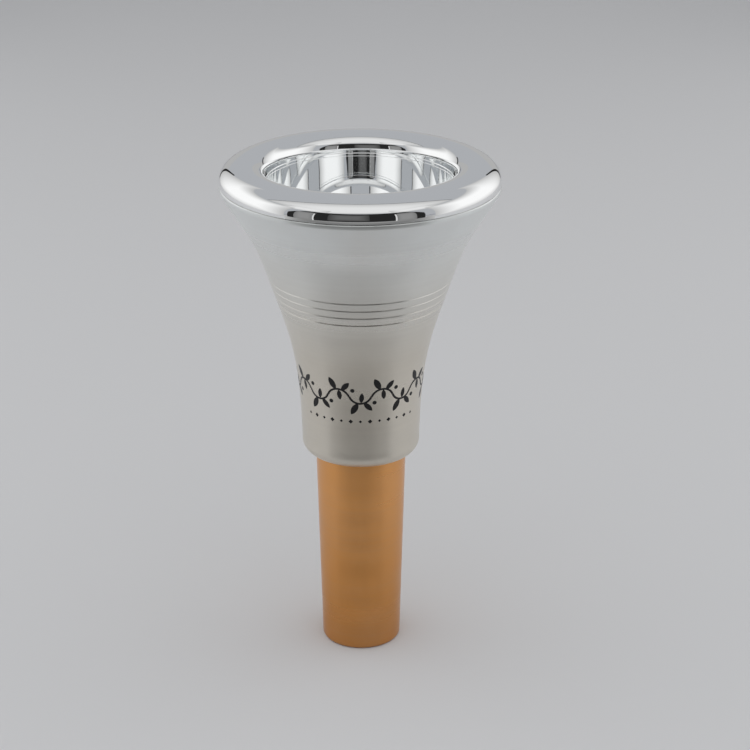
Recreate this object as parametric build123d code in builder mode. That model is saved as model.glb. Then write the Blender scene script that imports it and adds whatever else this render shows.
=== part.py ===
from build123d import *

# Two-metal low-brass mouthpiece that unscrews into rim, cup and shank, each thread with a seal ring.
# Millimetres. The bore runs along +Z, and the origin is the centre of the shank's small end.

import os
from math import asin, cos, radians, sin, tan

# Overall shape
rim_height = 79.0
rim_radius = 21.0
crest_radius = 17.2
seam_z = 75.8
flare_top_z = 75.2
collar_bottom_z = 32.7
collar_radius = 9.1
collar_corner = 1.95
bite_radius = 14.05
bite_z = 76.35
bite_land_angle = 3.5
bite_land_height = 3.0
wall_bend = 38.0
funnel_angle = 24.0
throat_radius = 3.7
throat_z = 43.3
throat_length = 4.0
shank_end_radius = 6.18
shank_end_round = 0.5
shank_taper = 1 / 20
bore_end_radius = 5.0

# Fits
screw_gap = 0.15
flank_gap = 0.10
face_gap = 0.05
hairline = 0.12

# Rim tenon and its thread, read downwards from the seam
rim_pilot_radius = 16.0
rim_pilot_bottom = 73.0
rim_tenon_radius = 15.2
rim_tenon_bottom = 68.2
rim_relief_top = 69.5
rim_pitch = 1.25
rim_thread_depth = 0.65
rim_thread_low = 68.9
rim_thread_high = 72.2

# Shank tenon and its thread, read upwards from the seat
seat_z = 33.4
shank_plain_radius = 6.2
shank_thread_radius = 6.1
shank_pitch = 1.25
shank_thread_depth = 0.55
shank_thread_low = 36.4
shank_thread_high = 42.4
tenon_bevel = 0.4
relief = 0.2
runout = 0.4

# Seal rings: round section in a square-cut groove
seal_section = 1.0
seal_groove_width = 1.3
seal_gap = 0.05
shank_seal_gap = 0.08
seal_groove_margin = 0.04
rim_seal_z = 74.35
shank_seal_z = 34.9

# Decoration: four turned V-grooves, and the enamel inlay round the front of the lower body
groove_count = 4
groove_first = 15.42
groove_spacing = 1.33
groove_width = 0.30
groove_depth = 0.18
inlay_depth = 0.15
inlay_draw_radius = 11.0
inlay_draw_depth = 3.0
ornament_facing = -90
vine_z = 45.2
vine_radius = 9.65
vine_step = 20
vine_reach = 4
vine_rise = 1.15
stem_width = 0.32
diamond_z = 41.0
diamond_step = 9
diamond_reach = 6
diamond_size = 0.36

# Derived
cup_top_z = seam_z - face_gap
land_foot_radius = bite_radius - bite_land_height * tan(radians(bite_land_angle))
land_foot_z = bite_z - bite_land_height
shank_seat_radius = shank_end_radius + seat_z * shank_taper / 2
rim_seal_radius = rim_pilot_radius - seal_section / 2 + seal_gap
shank_seal_radius = shank_plain_radius + seal_section / 2 + shank_seal_gap


def wall_lean(z):
    """Angle in radians between the bore and the cup wall at height z, on the arc below the bite's land."""
    return asin(sin(radians(bite_land_angle)) + (land_foot_z - z) / wall_bend)


def wall_point(z):
    """Point of that arc at height z."""
    return land_foot_radius - wall_bend * (cos(radians(bite_land_angle)) - cos(wall_lean(z))), z


def flare(inset=0.0):
    """The cup's outer outline from the seam to the collar's underside, moved inwards by inset."""
    points = [(rim_radius, flare_top_z), (16.3, 67.3), (13.3, 59.3), (10.8, 51.3), (9.5, 43.3),
              (collar_radius, 35.4)]
    points = [(r - inset, z) for r, z in points]
    Line((rim_radius - inset, cup_top_z - hairline), points[0])
    curve = Spline(points, tangents=[(-0.585, -1), (-0.03, -1)])
    side = Line(points[-1], (collar_radius - inset, collar_bottom_z + collar_corner))
    centre = (side @ 1).X - collar_corner + inset
    corner = collar_corner - inset
    RadiusArc(side @ 1, (centre, collar_bottom_z + inset), corner)
    return curve, centre


def solid_under_flare(inset=0.0):
    """The cup's outside filled in to the axis, as a tool for the inlay."""
    with BuildPart() as filled:
        with BuildSketch(Plane.XZ):
            with BuildLine():
                _, centre = flare(inset)
                Polyline((centre, collar_bottom_z + inset), (0, collar_bottom_z + inset),
                         (0, cup_top_z - hairline), (rim_radius - inset, cup_top_z - hairline))
            make_face()
        revolve(axis=Axis.Z)
    return filled.part


def ridge(root, crest, pitch, low, high, gap=0.0, sink=0.0):
    """A right-hand helical ridge round Z, in phase with every other of its pitch, fattened by gap."""
    tip = 0.2 * pitch / 2 + gap
    slant = 0.42 * (crest - root)
    foot = tip + slant * (1 + sink / (crest - root))
    with BuildPart() as wound:
        with BuildLine():
            Helix(pitch, high - low, root, center=(0, 0, low))
        with BuildSketch(Plane(origin=(root, 0, low), x_dir=(1, 0, 0), z_dir=(0, -1, 0))):
            Polygon((-sink, -foot), (crest - root, -tip), (crest - root, tip), (-sink, foot), align=None)
        sweep(is_frenet=True)
    return wound.part.rotate(Axis.Z, 360 * low / pitch)


def male_thread(root, crest, pitch, low, high):
    """A ridge sunk a little into its core, its two ends run out into bevels."""
    lead = 0.6 * (crest - root)
    with BuildPart() as trimmed:
        add(ridge(root, crest, pitch, low - pitch, high + pitch, sink=0.15))
        with BuildSketch(Plane.XZ):
            Polygon((root - 1, low), (root, low), (crest + 0.2, low + lead), (crest + 0.2, high - lead),
                    (root, high), (root - 1, high), align=None)
        revolve(axis=Axis.Z, mode=Mode.INTERSECT)
    return trimmed.part


def inlay_plane(azimuth, z):
    """A plane just outside the lower body, facing outwards, for drawing one motif."""
    angle = radians(ornament_facing + azimuth)
    outward = Vector(cos(angle), sin(angle), 0)
    return Plane(origin=outward * inlay_draw_radius + Vector(0, 0, z), x_dir=(-sin(angle), cos(angle), 0),
                 z_dir=outward)


def leaf(length, width):
    """A pointed leaf lying along +X with its stalk at the origin."""
    with BuildSketch() as blade:
        with BuildLine():
            ThreePointArc((0, 0), (0.45 * length, width / 2), (length, 0))
            ThreePointArc((0, 0), (0.45 * length, -width / 2), (length, 0))
        make_face()
    return blade.sketch


# Helix ridges for both male threads, and the fatter ones that cut the matching female threads
rim_root = rim_tenon_radius - rim_thread_depth
shank_root = shank_thread_radius - shank_thread_depth
rim_male = male_thread(rim_root, rim_tenon_radius, rim_pitch, rim_thread_low, rim_thread_high)
rim_female = ridge(rim_root, rim_tenon_radius + screw_gap, rim_pitch,
                   rim_thread_low, rim_pilot_bottom + runout, gap=flank_gap)
shank_male = male_thread(shank_root, shank_thread_radius, shank_pitch, shank_thread_low, shank_thread_high)
shank_female = ridge(shank_root, shank_thread_radius + screw_gap, shank_pitch,
                     shank_thread_low - runout, shank_thread_high + runout, gap=flank_gap)

# Rim: playing surface above the seam, threaded tenon below it
with BuildPart() as rim:
    with BuildSketch(Plane.XZ):
        with BuildLine():
            tenon_foot = wall_point(rim_tenon_bottom)
            land_foot = (land_foot_radius, land_foot_z)
            ThreePointArc(tenon_foot, wall_point((rim_tenon_bottom + land_foot_z) / 2), land_foot)
            Line(land_foot, (bite_radius, bite_z))
            crest = (crest_radius, rim_height)
            Spline((bite_radius, bite_z), (14.5, rim_height - 1.05), (15.5, rim_height - 0.28), crest,
                   tangents=[(0.05, 1), (1, 0)])
            edge = (rim_radius, seam_z + hairline)
            Spline(crest, (19.4, rim_height - 0.42), (20.7, rim_height - 1.6), edge,
                   tangents=[(1, 0), (0, -1)])
            Polyline(edge, (rim_radius - hairline, seam_z), (rim_pilot_radius, seam_z),
                     (rim_pilot_radius, rim_pilot_bottom), (rim_root, rim_pilot_bottom),
                     (rim_root, rim_tenon_bottom + tenon_bevel), (rim_root - tenon_bevel, rim_tenon_bottom),
                     tenon_foot)
        make_face()
    revolve(axis=Axis.Z)
    add(rim_male)
    with BuildSketch(Plane.XZ):
        with Locations((rim_seal_radius, rim_seal_z)):
            Rectangle(seal_section + 2 * seal_gap, seal_groove_width)
    revolve(axis=Axis.Z, mode=Mode.SUBTRACT)

# Enamel inlay: a leafy vine over a row of diamonds, as deep as the skin between two outlines.
# Each leaf of a motif: where its stalk meets the stem, the way it points in degrees, its length.
leaves = [(-0.35, 1.05, 118, 2.2), (0.5, 0.95, 48, 1.9), (0.1, 1.05, -84, 1.7)]
with BuildPart() as engraving_infill:
    for step in range(-vine_reach, vine_reach + 1):
        up = 1 if step % 2 else -1
        half = 0.97 * vine_radius * tan(radians(vine_step / 2))
        with BuildSketch(inlay_plane(step * vine_step, vine_z)):
            with BuildLine():
                ThreePointArc((-half, 0), (0, vine_rise * up), (half, 0))
            trace(line_width=stem_width)
            for x, y, angle, length in leaves:
                with Locations((x, y * up)):
                    add(leaf(length, 0.43 * length), rotation=angle * up)
            with Locations((-0.72 * half, -1.05 * up)):
                Circle(0.32)
        extrude(amount=-inlay_draw_depth)
    for step in range(-diamond_reach, diamond_reach + 1):
        side = diamond_size * (1.4 if step % 2 else 1.0)
        with BuildSketch(inlay_plane(step * diamond_step, diamond_z)):
            Rectangle(side, side, rotation=45)
        extrude(amount=-inlay_draw_depth)
    add(solid_under_flare(), mode=Mode.INTERSECT)
    add(solid_under_flare(inlay_depth), mode=Mode.SUBTRACT)

# Cup: flare and collar outside, funnel-shaped cup inside, a threaded socket at each end
with BuildPart() as cup_body:
    with BuildSketch(Plane.XZ):
        with BuildLine():
            outline, underside = flare()
            socket = [(underside, collar_bottom_z), (shank_seat_radius + 0.08, collar_bottom_z),
                      (shank_seat_radius + 0.08, seat_z + face_gap),
                      (shank_plain_radius + screw_gap, seat_z + face_gap),
                      (shank_plain_radius + screw_gap, shank_thread_low),
                      (shank_root + screw_gap, shank_thread_low), (shank_root + screw_gap, shank_thread_high),
                      (shank_thread_radius + relief, shank_thread_high),
                      (shank_thread_radius + relief, throat_z + face_gap),
                      (throat_radius, throat_z + face_gap)]
            Polyline(*socket)
            cup_edge = wall_point(rim_tenon_bottom - face_gap)
            Spline(socket[-1], cup_edge,
                   tangents=[(tan(radians(funnel_angle)), 1), (tan(wall_lean(cup_edge[1])), 1)])
            mouth = [cup_edge, (rim_tenon_radius + relief, rim_tenon_bottom - face_gap),
                     (rim_tenon_radius + relief, rim_relief_top), (rim_root + screw_gap, rim_relief_top),
                     (rim_root + screw_gap, rim_pilot_bottom - face_gap),
                     (rim_pilot_radius + screw_gap, rim_pilot_bottom - face_gap),
                     (rim_pilot_radius + screw_gap, cup_top_z), (rim_radius - hairline, cup_top_z),
                     (rim_radius, cup_top_z - hairline)]
            Polyline(*mouth)
        make_face()
    revolve(axis=Axis.Z)
    add(rim_female, mode=Mode.SUBTRACT)
    add(shank_female, mode=Mode.SUBTRACT)
    with BuildSketch(Plane.XZ):
        with Locations((shank_seal_radius, shank_seal_z)):
            Rectangle(seal_section + 2 * seal_gap + seal_groove_margin, seal_groove_width)
    revolve(axis=Axis.Z, mode=Mode.SUBTRACT)
    for count in range(groove_count):
        along = groove_first + count * groove_spacing
        spot = outline.position_at(along, position_mode=PositionMode.LENGTH)
        slope = outline.tangent_at(along, position_mode=PositionMode.LENGTH)
        with BuildSketch(Plane(origin=spot, x_dir=slope, z_dir=(0, -1, 0))):
            Polygon((-groove_width / 2, 0.02), (0, -groove_depth), (groove_width / 2, 0.02), align=None)
        revolve(axis=Axis.Z, mode=Mode.SUBTRACT)
    add(engraving_infill.part, mode=Mode.SUBTRACT)

# Shank: tapered outside, threaded tenon above the seat, throat and backbore inside
with BuildPart() as shank:
    with BuildSketch(Plane.XZ):
        with BuildLine():
            foot = (shank_end_radius - shank_end_round, 0)
            RadiusArc(foot, (shank_end_radius, shank_end_round), -shank_end_round)
            throat_low = (throat_radius, throat_z - throat_length)
            Polyline((shank_end_radius, shank_end_round), (shank_seat_radius, seat_z),
                     (shank_plain_radius, seat_z), (shank_plain_radius, shank_thread_low - 0.3),
                     (shank_root, shank_thread_low), (shank_root, throat_z - tenon_bevel),
                     (shank_root - tenon_bevel, throat_z), (throat_radius, throat_z), throat_low)
            Spline(throat_low, (4.2, 22), (bore_end_radius, 0), tangents=[(0, -1), (0.03, -1)])
            Line((bore_end_radius, 0), foot)
        make_face()
    revolve(axis=Axis.Z)
    add(shank_male)

# Seal rings, relaxed in their grooves
with BuildPart() as rim_seal_ring:
    with BuildSketch(Plane.XZ):
        with Locations((rim_seal_radius, rim_seal_z)):
            Circle(seal_section / 2)
    revolve(axis=Axis.Z)

with BuildPart() as shank_seal_ring:
    with BuildSketch(Plane.XZ):
        with Locations((shank_seal_radius, shank_seal_z)):
            Circle(seal_section / 2)
    revolve(axis=Axis.Z)

pieces = {
    "rim": rim,
    "cup_body": cup_body,
    "engraving_infill": engraving_infill,
    "shank": shank,
    "rim_seal_ring": rim_seal_ring,
    "shank_seal_ring": shank_seal_ring,
}
os.makedirs("parts", exist_ok=True)
for name, piece in pieces.items():
    piece.part.label = name
    export_step(piece.part, f"parts/{name}.step")
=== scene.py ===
import math

import bmesh
import bpy
import numpy as np
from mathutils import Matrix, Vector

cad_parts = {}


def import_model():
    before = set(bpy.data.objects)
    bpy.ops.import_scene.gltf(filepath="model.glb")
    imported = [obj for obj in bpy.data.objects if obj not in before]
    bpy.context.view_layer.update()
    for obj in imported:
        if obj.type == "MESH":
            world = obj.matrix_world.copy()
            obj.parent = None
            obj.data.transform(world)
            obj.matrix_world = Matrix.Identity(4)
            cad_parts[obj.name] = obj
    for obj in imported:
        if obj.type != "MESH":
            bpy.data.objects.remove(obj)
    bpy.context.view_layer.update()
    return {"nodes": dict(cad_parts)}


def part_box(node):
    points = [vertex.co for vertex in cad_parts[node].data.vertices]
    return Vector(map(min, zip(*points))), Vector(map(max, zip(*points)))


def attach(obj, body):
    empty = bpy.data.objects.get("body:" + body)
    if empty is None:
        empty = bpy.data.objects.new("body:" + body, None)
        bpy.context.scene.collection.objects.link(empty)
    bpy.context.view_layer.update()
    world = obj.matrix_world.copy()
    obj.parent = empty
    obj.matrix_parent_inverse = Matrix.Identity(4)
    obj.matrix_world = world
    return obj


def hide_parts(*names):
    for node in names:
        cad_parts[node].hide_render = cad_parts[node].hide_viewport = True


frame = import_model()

# ----------------------------------------------------------------------------------------------
# Sizes, in millimetres in the frame's axes: Z runs up the bore from the shank's small end.
# ----------------------------------------------------------------------------------------------
MM = 0.001
SEGMENTS = 384
SMOOTH_BELOW = math.radians(32)

rim_low, rim_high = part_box("rim")
cup_low, cup_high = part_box("cup_body")
shank_low, shank_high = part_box("shank")

RIM_TOP = rim_high.z / MM
RIM_RADIUS = rim_high.x / MM
TENON_FOOT = rim_low.z / MM
CUP_TOP = cup_high.z / MM
COLLAR_UNDER = cup_low.z / MM
SHANK_TOP = shank_high.z / MM
SEAT_RADIUS = shank_high.x / MM

FACE_GAP = 0.05                       # between faces that meet
SEAM = CUP_TOP + FACE_GAP             # underside of the rim's playing part
HAIRLINE = 0.12                       # chamfer on both sides of the seam
CREST_RADIUS = 17.2
BITE = (14.05, SEAM + 0.55)
BITE_SCORES = (BITE[1] - 0.55, BITE[1] - 0.12)
LAND_LEAN, LAND_HEIGHT = math.radians(3.5), 2.5
WALL_BEND = 38.0
LAND_FOOT = (BITE[0] - LAND_HEIGHT * math.tan(LAND_LEAN), BITE[1] - LAND_HEIGHT)
FUNNEL_SLOPE = math.tan(math.radians(24.0))
PILOT_RADIUS, PILOT_FOOT = 16.0, SEAM - 2.8
RIM_SEAL_GROOVE = (SEAM - 0.8, SEAM - 2.1)
RIM_SEAL_DEPTH = 1.0
SHANK_SEAL_GROOVE = (34.25, 35.55)
SHANK_SEAL_RADIUS = 7.35
COLLAR_RADIUS, COLLAR_CORNER = 9.1, 1.95
FLARE = [(RIM_RADIUS, SEAM - 0.6), (16.3, SEAM - 8.5), (13.3, SEAM - 16.5), (10.8, SEAM - 24.5),
         (9.5, SEAM - 32.5), (COLLAR_RADIUS, SEAM - 40.4)]
FLARE_ENDS = ((-0.585, -1.0), (-0.03, -1.0))
GROOVES = [15.42 + 1.33 * k for k in range(4)]    # distances down the flare from the seam
GROOVE_WIDTH, GROOVE_DEPTH = 0.30, 0.085
SEAT = 33.4
END_RADIUS = SEAT_RADIUS - SEAT / 40
END_ROUND = 0.5
BORE_END = 5.0
THROAT = 3.7
THROAT_LENGTH = 4.0
SHANK_PLAIN = 6.2
BEVEL = 0.4
RELIEF = 0.2
SCREW_GAP = 0.15                      # radial clearance of a screw joint
RUN_OUT = 0.05                        # plain length past each end of a male thread
SOCKET_LEAD = 0.6                     # plain length at the foot of the rim's socket


class Thread:
    """A right-hand trapezoid thread round Z, whose ridge passes azimuth 0 at a whole number of pitches."""

    def __init__(self, root, crest, low, high, pitch=1.25, gap=0.0, bevel=0.0):
        self.root, self.crest, self.low, self.high = root, crest, low, high
        self.pitch, self.bevel = pitch, bevel
        self.tip = 0.1 * pitch + gap
        self.foot = self.tip + 0.42 * (crest - root)

    def radius(self, angle, z, floor):
        """Radius at (angle, z) of a surface that is floor where no ridge stands."""
        turn = z / self.pitch - angle / math.tau
        away = np.abs((turn + 0.5) % 1.0 - 0.5) * self.pitch
        height = (self.crest - self.root) * np.clip((self.foot - away) / (self.foot - self.tip), 0, 1)
        if self.bevel:
            ends = np.minimum(z - self.low, self.high - z) / self.bevel * (self.crest - self.root)
            height = np.minimum(height, np.clip(ends, 0, None))
        inside = (z >= self.low) & (z <= self.high)
        return np.where(inside, np.maximum(floor, self.root + height), floor)


RIM_THREAD = Thread(14.55, 15.2, 68.9, 72.2, bevel=0.39)
RIM_SOCKET = Thread(14.55, 15.35, 68.9, 73.4, gap=0.1)
SHANK_THREAD = Thread(5.55, 6.1, 36.4, 42.4, bevel=0.33)
SHANK_SOCKET = Thread(5.55, 6.25, 36.0, 42.8, gap=0.1)


def wall_lean(z):
    """Angle between the bore and the cup wall at height z: a short straight land, then an arc below it."""
    return math.asin(math.sin(LAND_LEAN) + max(0.0, LAND_FOOT[1] - z) / WALL_BEND)


def wall_radius(z):
    if z > LAND_FOOT[1]:
        return BITE[0] - math.tan(LAND_LEAN) * (BITE[1] - z)
    return LAND_FOOT[0] - WALL_BEND * (math.cos(LAND_LEAN) - math.cos(wall_lean(z)))


# ----------------------------------------------------------------------------------------------
# Outlines
# ----------------------------------------------------------------------------------------------
def smooth_curve(points, start, end, steps):
    """Points along the cubic spline through points, with the given directions at its two ends."""
    p = np.array(points, float)
    span = np.linalg.norm(np.diff(p, axis=0), axis=1)
    knots = np.concatenate([[0.0], np.cumsum(span)])
    n = len(p)
    system, target = np.zeros((n, n)), np.zeros((n, 2))
    system[0, 0] = system[-1, -1] = 1
    target[0] = np.array(start) / np.linalg.norm(start)
    target[-1] = np.array(end) / np.linalg.norm(end)
    for i in range(1, n - 1):
        before, after = span[i - 1], span[i]
        system[i, i - 1], system[i, i], system[i, i + 1] = after, 2 * (before + after), before
        target[i] = 3 * (after * (p[i] - p[i - 1]) / before + before * (p[i + 1] - p[i]) / after)
    slope = np.linalg.solve(system, target)
    t = np.linspace(0, knots[-1], steps + 1)
    i = np.clip(np.searchsorted(knots, t, side="right") - 1, 0, n - 2)
    h = span[i][:, None]
    u = ((t - knots[i]) / span[i])[:, None]
    return ((2 * u**3 - 3 * u**2 + 1) * p[i] + (u**3 - 2 * u**2 + u) * h * slope[i]
            + (3 * u**2 - 2 * u**3) * p[i + 1] + (u**3 - u**2) * h * slope[i + 1])


class Outline:
    """A closed section of a turned piece: points (r, z), each span with a finish and maybe a thread."""

    def __init__(self, r, z):
        self.points, self.finish, self.thread = [(r, z)], [], [None]

    def line(self, r, z, finish=0, steps=1, thread=None):
        r0, z0 = self.points[-1]
        for k in range(1, steps + 1):
            self.points.append((r0 + (r - r0) * k / steps, z0 + (z - z0) * k / steps))
            self.finish.append(finish)
            self.thread.append(thread)
        return self

    def along(self, points, finish=0):
        for r, z in points:
            self.line(r, z, finish)
        return self

    def arc(self, centre, radius, start, end, finish=0, steps=12):
        """Degrees from start to end round centre, 0 pointing outwards and 90 up."""
        for k in range(1, steps + 1):
            a = math.radians(start + (end - start) * k / steps)
            self.line(centre[0] + radius * math.cos(a), centre[1] + radius * math.sin(a), finish)
        return self


def turned(name, outline, materials, body, node):
    """Revolves a closed outline into a mesh that stands for a CAD node and rides on its body."""
    radius, z = np.array(outline.points[:-1]).T
    count = len(radius)
    angles = np.arange(SEGMENTS) / SEGMENTS * math.tau
    grid = np.repeat(radius[None, :], SEGMENTS, axis=0)
    for i, thread in enumerate(outline.thread[:count]):
        if thread is not None:
            grid[:, i] = thread.radius(angles, np.full(SEGMENTS, z[i]), radius[i])
    x = grid * np.cos(angles)[:, None]
    y = grid * np.sin(angles)[:, None]
    co = np.stack([x, y, np.broadcast_to(z, x.shape)], axis=-1).reshape(-1, 3) * MM
    around, along = np.meshgrid(np.arange(SEGMENTS), np.arange(count), indexing="ij")
    here = around * count + along
    up = around * count + (along + 1) % count
    side = (around + 1) % SEGMENTS * count + along
    corner = (around + 1) % SEGMENTS * count + (along + 1) % count
    faces = np.stack([here, side, corner, up], axis=-1).reshape(-1, 4)
    area = sum(radius[i] * z[(i + 1) % count] - radius[(i + 1) % count] * z[i] for i in range(count))
    if area < 0:
        faces = faces[:, ::-1]
    mesh = bpy.data.meshes.new(name)
    mesh.from_pydata(co.tolist(), [], faces.tolist())
    for material in materials:
        mesh.materials.append(material)
    mesh.polygons.foreach_set("material_index", np.tile(outline.finish[:count], SEGMENTS))
    mesh.shade_smooth()
    mesh.set_sharp_from_angle(angle=SMOOTH_BELOW)
    piece = bpy.data.objects.new(name, mesh)
    bpy.context.scene.collection.objects.link(piece)
    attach(piece, body)
    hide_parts(node)
    return piece


def wall(low, high, marks=(), width=0.16, depth=0.07, steps=32):
    """Points up the cup wall, with V-shaped lines scored at the heights in marks."""
    spots = {z: 0.0 for z in np.linspace(low, high, steps + 1)}
    for mark in marks:
        spots |= {mark - width / 2: 0.0, mark: depth, mark + width / 2: 0.0}
    return [(wall_radius(z) + d, z) for z, d in sorted(spots.items())]


def rim_outline():
    """Playing surface, then the hairline, pilot, seal groove and threaded tenon."""
    foot = (wall_radius(TENON_FOOT), TENON_FOOT)
    crest = (CREST_RADIUS, RIM_TOP)
    edge = (RIM_RADIUS, SEAM + HAIRLINE)
    inner = [BITE, (14.5, RIM_TOP - 1.05), (15.5, RIM_TOP - 0.28), crest]
    outer = [crest, (19.4, RIM_TOP - 0.42), (20.7, RIM_TOP - 1.6), edge]
    o = Outline(*foot).along(wall(TENON_FOOT, BITE[1], BITE_SCORES)[1:])
    o.along(smooth_curve(inner, (0.05, 1), (1, 0), 60)[1:])
    o.along(smooth_curve(outer, (1, 0), (0, -1), 72)[1:])
    groove_top, groove_foot = RIM_SEAL_GROOVE
    floor = PILOT_RADIUS - RIM_SEAL_DEPTH
    o.line(RIM_RADIUS - HAIRLINE, SEAM).line(PILOT_RADIUS, SEAM, steps=3)
    o.line(PILOT_RADIUS, groove_top).line(floor, groove_top).line(floor, groove_foot)
    o.line(PILOT_RADIUS, groove_foot).line(PILOT_RADIUS, PILOT_FOOT)
    root = RIM_THREAD.root
    o.line(root, PILOT_FOOT).line(root, RIM_THREAD.high + RUN_OUT)
    o.line(root, RIM_THREAD.low - RUN_OUT, steps=98, thread=RIM_THREAD)
    o.line(root, TENON_FOOT + BEVEL).line(root - BEVEL, TENON_FOOT).line(*foot, steps=2)
    return o


def flare_points():
    """The cup's outer curve with its turned grooves cut in."""
    curve = smooth_curve(FLARE, *FLARE_ENDS, 400)
    length = np.concatenate([[0], np.cumsum(np.linalg.norm(np.diff(curve, axis=0), axis=1))])
    half = GROOVE_WIDTH / 2
    stations = set(np.linspace(0, length[-1], 131))
    for at in GROOVES:
        stations = {s for s in stations if abs(s - at) > half * 1.3}
        stations |= {at - half, at - half * 0.5, at, at + half * 0.5, at + half}
    stations = np.array(sorted(stations))
    r, z = (np.interp(stations, length, curve[:, k]) for k in (0, 1))
    dr, dz = np.gradient(r, stations), np.gradient(z, stations)
    depth = sum(np.clip(1 - np.abs(stations - at) / half, 0, 1) for at in GROOVES) * GROOVE_DEPTH
    size = np.hypot(dr, dz)
    return np.stack([r + dz / size * depth, z - dr / size * depth], axis=1)


SATIN, POLISHED, HIDDEN = 0, 1, 2


def cup_outline():
    """Flare, collar, shank socket, funnel-shaped cup and rim socket, in that order."""
    outer = flare_points()
    o = Outline(RIM_RADIUS, CUP_TOP - HAIRLINE)
    o.along(outer, SATIN)
    o.line(COLLAR_RADIUS, COLLAR_UNDER + COLLAR_CORNER, SATIN, steps=4)
    centre = (COLLAR_RADIUS - COLLAR_CORNER, COLLAR_UNDER + COLLAR_CORNER)
    o.arc(centre, COLLAR_CORNER, 0, -90, SATIN, steps=16)
    mouth, plain = SEAT_RADIUS + 0.08, SHANK_PLAIN + SCREW_GAP
    minor, relief = SHANK_SOCKET.root + SCREW_GAP, SHANK_THREAD.crest + RELIEF
    seat, funnel_foot = SEAT + FACE_GAP, SHANK_TOP + FACE_GAP
    groove_foot, groove_top = SHANK_SEAL_GROOVE
    o.line(mouth, COLLAR_UNDER, SATIN).line(mouth, seat, HIDDEN).line(plain, seat, HIDDEN)
    o.line(plain, groove_foot, HIDDEN).line(SHANK_SEAL_RADIUS, groove_foot, HIDDEN)
    o.line(SHANK_SEAL_RADIUS, groove_top, HIDDEN).line(plain, groove_top, HIDDEN)
    o.line(plain, SHANK_THREAD.low, HIDDEN).line(minor, SHANK_THREAD.low, HIDDEN)
    o.line(minor, SHANK_THREAD.high, HIDDEN, steps=120, thread=SHANK_SOCKET)
    o.line(relief, SHANK_THREAD.high, HIDDEN).line(relief, funnel_foot, HIDDEN)
    top = (wall_radius(TENON_FOOT - FACE_GAP), TENON_FOOT - FACE_GAP)
    o.line(THROAT, funnel_foot, POLISHED)
    ends = ((FUNNEL_SLOPE, 1), (math.tan(wall_lean(top[1])), 1))
    o.along(smooth_curve([(THROAT, funnel_foot), top], *ends, 40)[1:], POLISHED)
    relief, minor = RIM_THREAD.crest + RELIEF, RIM_THREAD.root + SCREW_GAP
    pilot, lead = PILOT_RADIUS + SCREW_GAP, RIM_THREAD.low + SOCKET_LEAD
    o.line(relief, top[1], HIDDEN).line(relief, lead, HIDDEN).line(minor, lead, HIDDEN)
    o.line(minor, PILOT_FOOT - FACE_GAP, HIDDEN, steps=100, thread=RIM_SOCKET)
    o.line(pilot, PILOT_FOOT - FACE_GAP, HIDDEN).line(pilot, CUP_TOP, HIDDEN)
    o.line(RIM_RADIUS - HAIRLINE, CUP_TOP, HIDDEN).line(RIM_RADIUS, CUP_TOP - HAIRLINE, SATIN)
    return o


def shank_outline():
    """Rounded end, taper, seat, threaded tenon, throat and backbore."""
    foot = (END_RADIUS - END_ROUND, 0.0)
    o = Outline(*foot).arc((foot[0], END_ROUND), END_ROUND, -90, 0, steps=10)
    o.line(SEAT_RADIUS, SEAT, steps=60).line(SHANK_PLAIN, SEAT, 1)
    root = SHANK_THREAD.root
    o.line(SHANK_PLAIN, SHANK_THREAD.low - 0.3, 1).line(root, SHANK_THREAD.low - RUN_OUT, 1)
    o.line(root, SHANK_THREAD.high + RUN_OUT, 1, steps=122, thread=SHANK_THREAD)
    o.line(root, SHANK_TOP - BEVEL, 1).line(root - BEVEL, SHANK_TOP, 1).line(THROAT, SHANK_TOP, 1)
    throat_end = (THROAT, SHANK_TOP - THROAT_LENGTH)
    o.line(*throat_end, 1, steps=6)
    o.along(smooth_curve([throat_end, (4.2, 22), (BORE_END, 0)], (0, -1), (0.03, -1), 60)[1:], 1)
    o.line(*foot, 0, steps=2)
    return o


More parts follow.
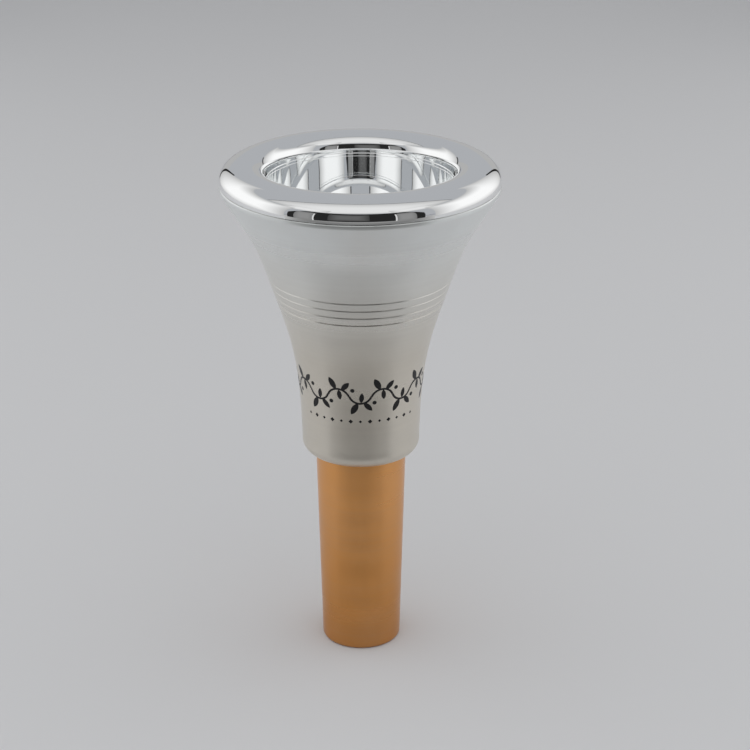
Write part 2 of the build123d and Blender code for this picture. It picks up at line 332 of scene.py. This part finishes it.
# ----------------------------------------------------------------------------------------------
# Materials
# ----------------------------------------------------------------------------------------------
class Surface:
    """A node material under construction, with short ways to add nodes to it."""

    def __init__(self, name, **principled):
        self.material = bpy.data.materials.new(name)
        self.material.use_nodes = True
        self.nodes = self.material.node_tree.nodes
        self.links = self.material.node_tree.links
        self.shader = self.nodes["Principled BSDF"]
        for key, value in principled.items():
            self.shader.inputs[key.replace("_", " ")].default_value = value
        self.place = self.nodes.new("ShaderNodeTexCoord").outputs["Object"]

    def add(self, kind, inputs=None, **settings):
        node = self.nodes.new(kind)
        for key, value in settings.items():
            setattr(node, key, value)
        for key, value in (inputs or {}).items():
            if isinstance(value, bpy.types.NodeSocket):
                self.links.new(value, node.inputs[key])
            else:
                node.inputs[key].default_value = value
        return node

    def noise(self, scale, detail=3.0, stretch=(1, 1, 1), rough=0.5):
        """Noise from 0 to 1, about scale features a metre, stretched along the frame's axes."""
        mapped = self.add("ShaderNodeMapping", {"Vector": self.place, "Scale": stretch})
        return self.add("ShaderNodeTexNoise", {"Vector": mapped.outputs[0], "Scale": scale, "Detail": detail,
                                               "Roughness": rough}).outputs["Fac"]

    def ramp(self, value, low, high, out_low, out_high):
        return self.add("ShaderNodeMapRange", {"Value": value, "From Min": low, "From Max": high,
                                               "To Min": out_low, "To Max": out_high}).outputs["Result"]

    def mix(self, factor, a, b):
        node = self.add("ShaderNodeMix", data_type="RGBA")
        self.links.new(factor, node.inputs["Factor"])
        for socket, value in ((node.inputs[6], a), (node.inputs[7], b)):
            if isinstance(value, bpy.types.NodeSocket):
                self.links.new(value, socket)
            else:
                socket.default_value = (*value, 1.0)
        return node.outputs[2]

    def bump(self, height, distance, strength):
        inputs = {"Height": height, "Distance": distance, "Strength": strength}
        return self.add("ShaderNodeBump", inputs).outputs["Normal"]

    def feed(self, **sockets):
        for key, value in sockets.items():
            self.links.new(value, self.shader.inputs[key.replace("_", " ")])
        return self


def polished_silver():
    """Mirror plate with faint polishing haze."""
    s = Surface("polished_silver", Metallic=1.0, Base_Color=(0.95, 0.957, 0.958, 1))
    haze = s.noise(260, 4, rough=0.6)
    s.feed(Roughness=s.ramp(haze, 0.35, 0.75, 0.012, 0.045))
    return s.material


def turned_metal(name, low, high, heights, rough, lines=1500.0):
    """Satin metal turned on a lathe: faint rings round the axis, blurred reflections up and down.

    Its colour goes from low to high between two heights in metres; a darker low colour is painted shade on
    the lower part.
    """
    s = Surface(name, Metallic=1.0, Anisotropic=0.85, Anisotropic_Rotation=0.25)
    rings = s.noise(1.0, 0, (2, 2, lines))
    bands = s.noise(1.0, 0, (2, 2, lines / 6))
    cloud = s.noise(95, 3)
    height = s.add("ShaderNodeSeparateXYZ", {"Vector": s.place}).outputs["Z"]
    # Painted shade: the colour ramps with height and is darker at the bottom wherever low is darker than
    # high.
    colour = s.mix(s.ramp(height, *heights, 0, 1), low, high)
    worn = s.mix(s.ramp(cloud, 0.35, 0.7, 0, 0.10), colour, (0.45, 0.42, 0.38))
    ringed = s.mix(s.ramp(rings, 0.3, 0.7, 0, 0.04), worn, (0.40, 0.38, 0.35))
    s.feed(Base_Color=ringed, Roughness=s.ramp(bands, 0.3, 0.7, rough - 0.04, rough + 0.05))
    tangent = s.add("ShaderNodeTangent", direction_type="RADIAL", axis="Z")
    s.links.new(tangent.outputs[0], s.shader.inputs["Tangent"])
    return s.material


def black_enamel():
    """Baked black filling with a slightly uneven surface."""
    s = Surface("black_enamel", Base_Color=(0.008, 0.008, 0.009, 1), Specular_IOR_Level=0.3)
    grain = s.noise(2600, 3)
    s.feed(Roughness=s.ramp(grain, 0.3, 0.7, 0.22, 0.4), Normal=s.bump(grain, 0.00002, 0.4))
    return s.material


def seal_rubber():
    s = Surface("seal_rubber", Base_Color=(0.016, 0.016, 0.017, 1))
    grain = s.noise(1500, 4)
    s.feed(Roughness=s.ramp(grain, 0.3, 0.7, 0.45, 0.65), Normal=s.bump(grain, 0.00003, 0.3))
    return s.material


silver = polished_silver()
# Painted shade: the satin silver turns darker and warmer from 72 mm down to 50 mm, and stays so down to the
# collar.
satin = turned_metal("satin_silver", (0.745, 0.70, 0.62), (0.89, 0.915, 0.91), (0.050, 0.072), 0.29)
tooled = turned_metal("tooled_silver", (0.72, 0.70, 0.66), (0.72, 0.70, 0.66), (0, 0.1), 0.34)
# Painted shade: the bronze turns darker from 26 mm down to 4 mm, towards the shank's small end.
bronze = turned_metal("satin_bronze", (0.66, 0.295, 0.085), (0.84, 0.40, 0.135), (0.004, 0.026), 0.30)
bronze_bore = turned_metal("reamed_bronze", (0.72, 0.34, 0.12), (0.72, 0.34, 0.12), (0, 0.1), 0.30)
enamel = black_enamel()
rubber = seal_rubber()

# ----------------------------------------------------------------------------------------------
# Pieces
# ----------------------------------------------------------------------------------------------
rim = turned("rim_turned", rim_outline(), [silver], "rim", "rim")
cup = turned("cup_turned", cup_outline(), [satin, silver, tooled], "cup", "cup_body")
shank = turned("shank_turned", shank_outline(), [bronze, bronze_bore], "shank", "shank")


def seal_ring(name, node, body):
    """A round-section rubber ring with the moulding flash line of a real seal."""
    low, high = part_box(node)
    section = (high.z - low.z) / 2 / MM
    centre = (high.x / MM - section, (high.z + low.z) / 2 / MM)
    flash = 0.012
    outline = Outline(centre[0] + section + flash, centre[1])
    outline.arc(centre, section, 4, 176, steps=28).line(centre[0] - section - flash, centre[1])
    outline.arc(centre, section, 184, 356, steps=28).line(centre[0] + section + flash, centre[1])
    ring = turned(name, outline, [rubber], body, node)


seal_ring("rim_seal_moulded", "rim_seal_ring", "rim_seal")
seal_ring("shank_seal_moulded", "shank_seal_ring", "shank_seal")


def carry(node, material):
    """Keeps a CAD node, with a finished material in every slot."""
    mesh = frame["nodes"][node].data
    mesh.materials.clear()
    mesh.materials.append(material)
    mesh.polygons.foreach_set("material_index", np.zeros(len(mesh.polygons), dtype=np.int32))


carry("engraving_infill", enamel)


def engrave(piece, node, depth=0.15, proud=0.15):
    """Cuts a CAD inlay's shape into a turned piece, and keeps the turned surface's own normals beside it."""
    curve = smooth_curve(FLARE, *FLARE_ENDS, 400)[::-1]

    def surface(z):
        return np.interp(z / MM, curve[:, 1], curve[:, 0], left=COLLAR_RADIUS) * MM

    cutter_mesh = bpy.data.meshes.new("inlay_cutter")
    shape = bmesh.new()
    shape.from_mesh(frame["nodes"][node].data)
    bmesh.ops.remove_doubles(shape, verts=shape.verts, dist=1e-7)
    for vertex in shape.verts:
        x, y, z = vertex.co
        now = math.hypot(x, y)
        outer = surface(z)
        wanted = outer + proud * MM if now > outer - depth / 2 * MM else now - 0.004 * MM
        vertex.co = (x * wanted / now, y * wanted / now, z)
    shape.to_mesh(cutter_mesh)
    shape.free()
    cutter = bpy.data.objects.new("inlay_cutter", cutter_mesh)
    bpy.context.scene.collection.objects.link(cutter)
    cut = piece.modifiers.new("engraving", "BOOLEAN")
    cut.operation, cut.solver, cut.object = "DIFFERENCE", "EXACT", cutter
    bpy.context.view_layer.update()
    mesh = bpy.data.meshes.new_from_object(piece.evaluated_get(bpy.context.evaluated_depsgraph_get()))
    piece.modifiers.clear()
    piece.data = mesh
    bpy.data.objects.remove(cutter)

    normals = np.empty(len(mesh.loops) * 3, np.float32)
    mesh.corner_normals.foreach_get("vector", normals)
    normals = normals.reshape(-1, 3)
    at = np.empty(len(mesh.loops), np.int32)
    mesh.loops.foreach_get("vertex_index", at)
    co = np.empty(len(mesh.vertices) * 3, np.float32)
    mesh.vertices.foreach_get("co", co)
    co = co.reshape(-1, 3)[at]
    radius = np.hypot(co[:, 0], co[:, 1])
    slope = (surface(co[:, 2] + 0.1 * MM) - surface(co[:, 2] - 0.1 * MM)) / (0.2 * MM)
    true = np.stack([co[:, 0] / radius, co[:, 1] / radius, -slope], axis=1)
    true /= np.linalg.norm(true, axis=1)[:, None]
    face_normal = np.empty(len(mesh.polygons) * 3, np.float32)
    mesh.polygons.foreach_get("normal", face_normal)
    totals = np.empty(len(mesh.polygons), np.int32)
    mesh.polygons.foreach_get("loop_total", totals)
    of_face = np.repeat(face_normal.reshape(-1, 3), totals, axis=0)
    skin = ((of_face * true).sum(axis=1) > 0.98) & (np.abs(radius - surface(co[:, 2])) < 0.03 * MM)
    skin &= (co[:, 2] > (COLLAR_UNDER + COLLAR_CORNER) * MM) & (co[:, 2] < (FLARE[0][1] - 0.3) * MM)
    normals[skin] = true[skin]
    mesh.normals_split_custom_set(normals.tolist())


engrave(cup, "engraving_infill")

# ----------------------------------------------------------------------------------------------
# Stage: pale sweep, soft light panels and camera
# ----------------------------------------------------------------------------------------------
def paper():
    s = Surface("paper", Roughness=0.9)
    s.shader.inputs["Specular IOR Level"].default_value = 0.1
    cloud = s.noise(3, 2)
    s.feed(Base_Color=s.mix(cloud, (0.685, 0.69, 0.705), (0.715, 0.72, 0.735)))
    return s.material


def sweep():
    """Floor that curves up far behind the object. Sizes are in metres."""
    front, reach, width = -3.0, 2.2, 3.0
    bend, height, steps = 0.30, 0.40, 24
    path = [(front, 0.0), (reach - bend, 0.0)]
    for k in range(1, steps + 1):
        a = math.radians(90 * k / steps)
        path.append((reach - bend + bend * math.sin(a), bend - bend * math.cos(a)))
    path.append((reach, height))
    verts = [(x, y, z) for y, z in path for x in (-width, width)]
    faces = [(2 * k, 2 * k + 1, 2 * k + 3, 2 * k + 2) for k in range(len(path) - 1)]
    mesh = bpy.data.meshes.new("sweep")
    mesh.from_pydata(verts, [], faces)
    mesh.materials.append(paper())
    mesh.shade_smooth()
    obj = bpy.data.objects.new("sweep", mesh)
    bpy.context.scene.collection.objects.link(obj)


def glow(name, rows, strength, fade, reaches="all"):
    """A glowing sheet through a grid of points, dimmer by fade at its border, which the camera doesn't see.

    It reaches all, or only the metal's reflections, or only the paper.
    """
    count, across = len(rows), len(rows[0])
    mesh = bpy.data.meshes.new(name)
    faces = [(i * across + j, i * across + j + 1, (i + 1) * across + j + 1, (i + 1) * across + j)
             for i in range(count - 1) for j in range(across - 1)]
    mesh.from_pydata([p for row in rows for p in row], [], faces)
    level = mesh.attributes.new("level", "FLOAT", "POINT")
    for i in range(count):
        for j in range(across):
            inside = min(i / (count - 1), 1 - i / (count - 1), j / (across - 1), 1 - j / (across - 1))
            level.data[i * across + j].value = 1 - fade * max(0.0, 1 - inside / 0.3) ** 1.5
    material = bpy.data.materials.new(name)
    material.use_nodes = True
    nodes, links = material.node_tree.nodes, material.node_tree.links
    nodes.clear()
    known = nodes.new("ShaderNodeAttribute")
    known.attribute_name = "level"
    scale = nodes.new("ShaderNodeMath")
    scale.operation = "MULTIPLY"
    scale.inputs[1].default_value = strength
    light = nodes.new("ShaderNodeEmission")
    out = nodes.new("ShaderNodeOutputMaterial")
    links.new(known.outputs["Fac"], scale.inputs[0])
    links.new(scale.outputs[0], light.inputs["Strength"])
    links.new(light.outputs[0], out.inputs["Surface"])
    mesh.materials.append(material)
    obj = bpy.data.objects.new(name, mesh)
    obj.visible_camera = False
    obj.visible_glossy = reaches != "paper"
    obj.visible_diffuse = obj.visible_shadow = reaches != "metal"
    bpy.context.scene.collection.objects.link(obj)


def patch(name, azimuth, elevation, strength, fade=0.0, reach=0.45, round_off=0.0, reaches="metal", steps=24):
    """A glowing part of a sphere round the rim. Azimuth 0 is towards the camera and 90 towards +X.

    Its top comes down by round_off degrees at its two ends.
    """
    rows = []
    for up in np.linspace(0, 1, steps):
        row = []
        for across in np.linspace(-1, 1, steps):
            top = elevation[1] - round_off * max(0.0, abs(across) - 0.7) ** 2 / 0.09
            e = math.radians(elevation[0] + (top - elevation[0]) * up)
            a = math.radians(np.interp(across, (-1, 1), azimuth))
            row.append((reach * math.cos(e) * math.sin(a), -reach * math.cos(e) * math.cos(a),
                        max(0.002, RIM_TOP * MM + reach * math.sin(e))))
        rows.append(row)
    glow(name, rows, strength, fade, reaches)


def ceiling(name, x, y, z, strength, fade, reaches="all", steps=24):
    """A glowing rectangle overhead."""
    rows = [[(u, v, z) for u in np.linspace(*x, steps)] for v in np.linspace(*y, steps)]
    glow(name, rows, strength, fade, reaches)


def floor_sheet(name, near, far, strength, fade, steps=24):
    """A glowing sheet just over the floor, from near to far in front of the object, wider further out."""
    across = np.linspace(-1, 1, steps)
    rows = [[(u * min(0.6, 1.7 * v), -v, 0.001) for u in across] for v in np.geomspace(near, far, steps)]
    glow(name, rows, strength, fade, "metal")


def world():
    """An even pale room."""
    w = bpy.data.worlds.new("studio")
    bpy.context.scene.world = w
    w.use_nodes = True
    w.node_tree.nodes["Background"].inputs["Color"].default_value = (0.42, 0.432, 0.455, 1)
    w.node_tree.nodes["Background"].inputs["Strength"].default_value = 1.0


def camera():
    """Looks down 22.3 degrees from in front, a little to the right of the bore axis."""
    data = bpy.data.cameras.new("camera")
    data.sensor_width = 36.0
    data.lens = 96.0
    data.clip_start = 0.01
    obj = bpy.data.objects.new("camera", data)
    obj.location = (0.0022, -0.2855, 0.1619)
    obj.rotation_euler = (math.radians(90 - 22.3), 0, 0)
    bpy.context.scene.collection.objects.link(obj)
    bpy.context.scene.camera = obj


sweep()
# The metal mirrors a dark wall behind the camera, with a window at each side and a doorway.
patch("front_wall", (-57.5, 51.5), (-14, 33), 0.02, reach=0.50, round_off=20)
patch("left_window", (-52, -36), (-14, 26), 0.27, reach=0.48, fade=0.3, round_off=7)
patch("right_window", (28.5, 44.5), (-14, 26), 0.27, reach=0.48, fade=0.3, round_off=7)
patch("left_window_edge", (-36.6, -35.4), (-12, 22), 0.7, reach=0.47)
patch("right_window_edge", (27.6, 28.8), (-12, 22), 0.7, reach=0.47)
patch("doorway", (-24.5, 7.5), (-6, 26), 0.125, reach=0.46, fade=0.6)
floor_sheet("floor_shade", 0.052, 0.60, 0.20, -1.4)
patch("horizon", (100, 260), (-5, 12), 0.44, reach=1.3)
# Soft boxes at both sides and overhead light it, and two fills light only the paper.
for side, word in ((-1, "left"), (1, "right")):
    patch(word + "_box", (side * 60, side * 155), (-14, 40), 1.0, fade=0.5, reaches="all")
    patch(word + "_box_edge", (side * 155, side * 157.5), (-14, 22), 0.02)
    patch(word + "_shoulder", (side * 28, side * 75), (34, 56), 0.8, fade=0.35, reach=0.55)
ceiling("top_box", (-0.45, 0.45), (-0.56, 0.07), 0.50, 0.78, 0.35)
ceiling("top_box_edge", (-0.45, 0.45), (0.07, 0.080), 0.50, 0.05, 0.0)
ceiling("front_fill", (-0.7, 0.7), (-0.8, 0.2), 0.49, 0.93, 0.2, reaches="paper")
ceiling("back_fill", (-1.2, 1.2), (0.2, 1.5), 0.6, 0.53, 0.3, reaches="paper")
world()
camera()
scene = bpy.context.scene
scene.view_settings.view_transform = "Standard"
scene.cycles.max_bounces = 16
scene.cycles.glossy_bounces = 12
scene.cycles.use_denoising = True
